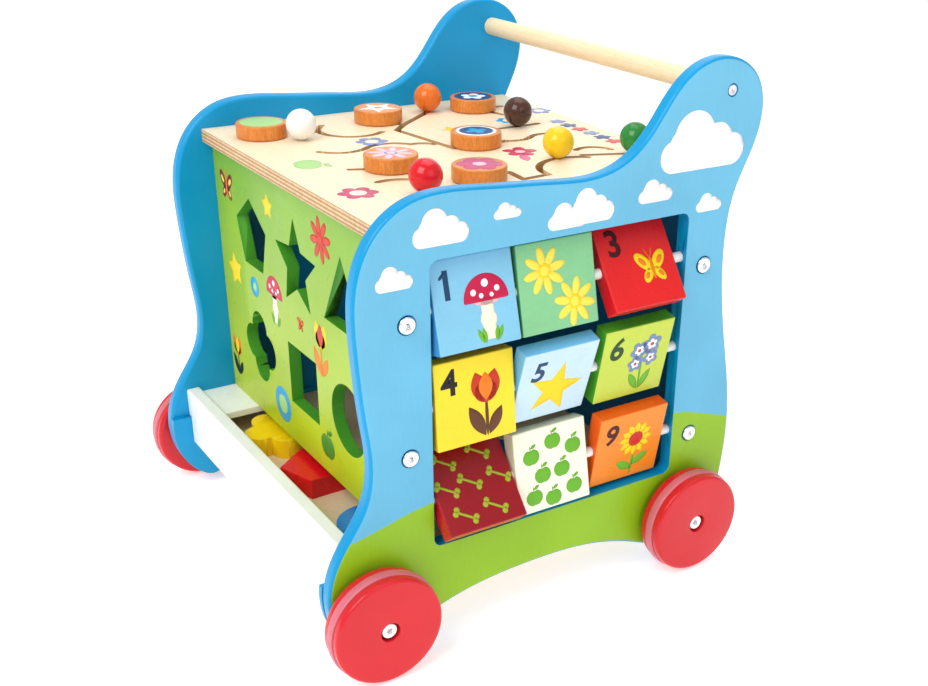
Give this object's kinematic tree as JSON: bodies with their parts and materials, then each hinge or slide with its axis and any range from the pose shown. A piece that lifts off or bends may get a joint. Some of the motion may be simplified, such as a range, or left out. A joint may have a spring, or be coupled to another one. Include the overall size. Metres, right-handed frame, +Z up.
{
  "type": "wooden baby walker",
  "caption": "Push-along wooden activity walker with wavy side panels, flip tiles, a shape sorter, sliding beads on top and rubber-ringed wheels",
  "frame": {"origin": "middle of the footprint, on the floor under the wheels", "axes": "+X towards the side panel with the flip tiles, -Y towards the shape sorter at the front, +Y towards the handle, +Z up"},
  "size_m": [0.4146, 0.4001, 0.4341],
  "materials": {
    "panel_blue_paint": "satin blue paint with printed hills and clouds on the outer face",
    "sorter_green_paint": "satin lime-green paint with small printed motifs",
    "rear_green_paint": "satin lime-green paint",
    "birch_ply": "clear matt lacquer over birch ply, printed motifs",
    "floor_ply": "clear matt lacquer",
    "white_paint": "satin white paint",
    "rail_paint": "satin blue paint",
    "dowel_wood": "fine-sanded clear lacquer",
    "peg_wood": "bare hardwood",
    "chrome_bolt": "bright chrome",
    "steel_rod": "drawn steel",
    "white_collar": "moulded plastic",
    "washer_plastic": "moulded plastic",
    "wheel_red_paint": "glossy red lacquer",
    "tyre_rubber": "translucent pink rubber",
    "beech_disc": "clear lacquer over beech, printed top",
    "tile_one_paint": "satin paint with a printed front",
    "tile_two_paint": "satin paint with a printed front",
    "tile_three_paint": "satin paint with a printed front",
    "tile_four_paint": "satin paint with a printed front",
    "tile_five_paint": "satin paint with a printed front",
    "tile_six_paint": "satin paint with a printed front",
    "tile_seven_paint": "satin paint with a printed front",
    "tile_eight_paint": "satin paint with a printed front",
    "tile_nine_paint": "satin paint with a printed front",
    "white_ball_lacquer": "glossy lacquer",
    "orange_ball_lacquer": "glossy lacquer",
    "brown_ball_lacquer": "glossy lacquer",
    "yellow_ball_lacquer": "glossy lacquer",
    "red_ball_lacquer": "glossy lacquer",
    "green_ball_lacquer": "glossy lacquer",
    "clover_block_paint": "satin paint",
    "pentagon_block_paint": "satin paint",
    "disc_block_paint": "satin paint",
    "star_block_paint": "satin paint",
    "triangle_block_paint": "satin paint",
    "square_block_paint": "satin paint"
  },
  "bodies": {
    "chassis": {"left_side_panel": "panel_blue_paint", "right_side_panel": "panel_blue_paint", "sorter_panel": "sorter_green_paint", "rear_panel": "rear_green_paint", "top_board": "birch_ply", "tray_floor": "floor_ply", "tray_front_board": "white_paint", "tray_corner_plate": "white_paint", "left_base_rail": "rail_paint", "right_base_rail": "rail_paint", "handle_bar": "dowel_wood", "tile_rods": "steel_rod", "rod_collars": "white_collar", "panel_bolts": "chrome_bolt", "handle_screws": "chrome_bolt", "wheel_screws": "chrome_bolt", "wheel_washers": "washer_plastic", "board_dowels": "peg_wood"},
    "front_left_wheel_set": {"front_left_wheel": "wheel_red_paint", "front_left_tyre": "tyre_rubber"},
    "front_right_wheel_set": {"front_right_wheel": "wheel_red_paint", "front_right_tyre": "tyre_rubber"},
    "rear_left_wheel_set": {"rear_left_wheel": "wheel_red_paint", "rear_left_tyre": "tyre_rubber"},
    "rear_right_wheel_set": {"rear_right_wheel": "wheel_red_paint", "rear_right_tyre": "tyre_rubber"},
    "tile_one_body": {"tile_one": "tile_one_paint"},
    "tile_two_body": {"tile_two": "tile_two_paint"},
    "tile_three_body": {"tile_three": "tile_three_paint"},
    "tile_four_body": {"tile_four": "tile_four_paint"},
    "tile_five_body": {"tile_five": "tile_five_paint"},
    "tile_six_body": {"tile_six": "tile_six_paint"},
    "tile_seven_body": {"tile_seven": "tile_seven_paint"},
    "tile_eight_body": {"tile_eight": "tile_eight_paint"},
    "tile_nine_body": {"tile_nine": "tile_nine_paint"},
    "green_disc_body": {"green_disc": "beech_disc"},
    "white_ball_body": {"white_ball": "white_ball_lacquer"},
    "orange_disc_body": {"orange_disc": "beech_disc"},
    "orange_ball_body": {"orange_ball": "orange_ball_lacquer"},
    "navy_disc_body": {"navy_disc": "beech_disc"},
    "brown_ball_body": {"brown_ball": "brown_ball_lacquer"},
    "blue_flower_disc_body": {"blue_flower_disc": "beech_disc"},
    "pink_ring_disc_body": {"pink_ring_disc": "beech_disc"},
    "pink_flower_disc_body": {"pink_flower_disc": "beech_disc"},
    "green_ball_body": {"green_ball": "green_ball_lacquer"},
    "red_ball_body": {"red_ball": "red_ball_lacquer"},
    "yellow_ball_body": {"yellow_ball": "yellow_ball_lacquer"},
    "clover_block_loose": {"clover_block": "clover_block_paint"},
    "pentagon_block_loose": {"pentagon_block": "pentagon_block_paint"},
    "disc_block_loose": {"disc_block": "disc_block_paint"},
    "star_block_loose": {"star_block": "star_block_paint"},
    "triangle_block_loose": {"triangle_block": "triangle_block_paint"},
    "square_block_loose": {"square_block": "square_block_paint"}
  },
  "joints": [
    {"name": "front_left_wheel_spin", "type": "hinge", "parent": "chassis", "child": "front_left_wheel_set", "pos_m": [0.19565, -0.1541, 0.046], "axis": [1, 0, 0], "continuous": true},
    {"name": "front_right_wheel_spin", "type": "hinge", "parent": "chassis", "child": "front_right_wheel_set", "pos_m": [-0.19565, -0.1541, 0.046], "axis": [1, 0, 0], "continuous": true},
    {"name": "rear_left_wheel_spin", "type": "hinge", "parent": "chassis", "child": "rear_left_wheel_set", "pos_m": [0.19565, 0.1446, 0.046], "axis": [1, 0, 0], "continuous": true},
    {"name": "rear_right_wheel_spin", "type": "hinge", "parent": "chassis", "child": "rear_right_wheel_set", "pos_m": [-0.19565, 0.1446, 0.046], "axis": [1, 0, 0], "continuous": true},
    {"name": "tile_one_flip", "type": "hinge", "parent": "chassis", "child": "tile_one_body", "pos_m": [0.1713, -0.0626, 0.27997], "axis": [0, 1, 0], "continuous": true},
    {"name": "tile_two_flip", "type": "hinge", "parent": "chassis", "child": "tile_two_body", "pos_m": [0.1713, 0.0089, 0.27997], "axis": [0, 1, 0], "continuous": true},
    {"name": "tile_three_flip", "type": "hinge", "parent": "chassis", "child": "tile_three_body", "pos_m": [0.1713, 0.0862, 0.27997], "axis": [0, 1, 0], "continuous": true},
    {"name": "tile_four_flip", "type": "hinge", "parent": "chassis", "child": "tile_four_body", "pos_m": [0.1713, -0.0626, 0.2033], "axis": [0, 1, 0], "continuous": true},
    {"name": "tile_five_flip", "type": "hinge", "parent": "chassis", "child": "tile_five_body", "pos_m": [0.1713, 0.0089, 0.2033], "axis": [0, 1, 0], "continuous": true},
    {"name": "tile_six_flip", "type": "hinge", "parent": "chassis", "child": "tile_six_body", "pos_m": [0.1713, 0.0862, 0.2033], "axis": [0, 1, 0], "continuous": true},
    {"name": "tile_seven_flip", "type": "hinge", "parent": "chassis", "child": "tile_seven_body", "pos_m": [0.1713, -0.0626, 0.12663], "axis": [0, 1, 0], "continuous": true},
    {"name": "tile_eight_flip", "type": "hinge", "parent": "chassis", "child": "tile_eight_body", "pos_m": [0.1713, 0.0089, 0.12663], "axis": [0, 1, 0], "continuous": true},
    {"name": "tile_nine_flip", "type": "hinge", "parent": "chassis", "child": "tile_nine_body", "pos_m": [0.1713, 0.0862, 0.12663], "axis": [0, 1, 0], "continuous": true},
    {"name": "green_disc_slide", "type": "slide", "parent": "chassis", "child": "green_disc_body", "axis": [-1, 0, 0], "range_m": [0, 0.024]},
    {"name": "white_ball_slide", "type": "slide", "parent": "chassis", "child": "white_ball_body", "axis": [-0.7424, 0.67, 0], "range_m": [0, 0.051]},
    {"name": "orange_disc_slide", "type": "slide", "parent": "chassis", "child": "orange_disc_body", "axis": [0.8392, 0.5439, 0], "range_m": [-0.013, 0.021]},
    {"name": "orange_ball_slide", "type": "slide", "parent": "chassis", "child": "orange_ball_body", "axis": [0.6247, -0.7809, 0], "range_m": [0, 0.02]},
    {"name": "navy_disc_slide", "type": "slide", "parent": "chassis", "child": "navy_disc_body", "axis": [0, 1, 0], "range_m": [0, 0.03]},
    {"name": "brown_ball_slide", "type": "slide", "parent": "chassis", "child": "brown_ball_body", "axis": [0, 1, 0], "range_m": [-0.031, 0.02]},
    {"name": "blue_flower_disc_slide", "type": "slide", "parent": "chassis", "child": "blue_flower_disc_body", "axis": [0, 1, 0], "range_m": [-0.02, 0.029]},
    {"name": "pink_ring_disc_slide", "type": "slide", "parent": "chassis", "child": "pink_ring_disc_body", "axis": [0.4061, 0.9138, 0], "range_m": [-0.031, 0.005]},
    {"name": "pink_flower_disc_slide", "type": "slide", "parent": "chassis", "child": "pink_flower_disc_body", "axis": [-0.2449, 0.9695, 0], "range_m": [-0.005, 0.022]},
    {"name": "green_ball_slide", "type": "slide", "parent": "chassis", "child": "green_ball_body", "axis": [-0.3647, -0.9311, 0], "range_m": [0, 0.022]},
    {"name": "red_ball_sweep", "type": "hinge", "parent": "chassis", "child": "red_ball_body", "pos_m": [0.084, -0.0701, 0.3424], "axis": [0, 0, 1], "range_deg": [-20, 108]},
    {"name": "yellow_ball_sweep", "type": "hinge", "parent": "chassis", "child": "yellow_ball_body", "pos_m": [0.1045, 0.0819, 0.3424], "axis": [0, 0, 1], "range_deg": [-20, 90]},
    {"name": "clover_block_push", "type": "slide", "parent": "chassis", "child": "clover_block_loose", "axis": [0, 1, 0], "range_m": [0, 0.06]},
    {"name": "pentagon_block_push", "type": "slide", "parent": "chassis", "child": "pentagon_block_loose", "axis": [0, 1, 0], "range_m": [0, 0.06]},
    {"name": "disc_block_push", "type": "slide", "parent": "chassis", "child": "disc_block_loose", "axis": [0, 1, 0], "range_m": [0, 0.06]},
    {"name": "star_block_push", "type": "slide", "parent": "chassis", "child": "star_block_loose", "axis": [0, 1, 0], "range_m": [0, 0.06]},
    {"name": "triangle_block_push", "type": "slide", "parent": "chassis", "child": "triangle_block_loose", "axis": [0, 1, 0], "range_m": [0, 0.06]},
    {"name": "square_block_push", "type": "slide", "parent": "chassis", "child": "square_block_loose", "axis": [0, 1, 0], "range_m": [0, 0.06]}
  ]
}
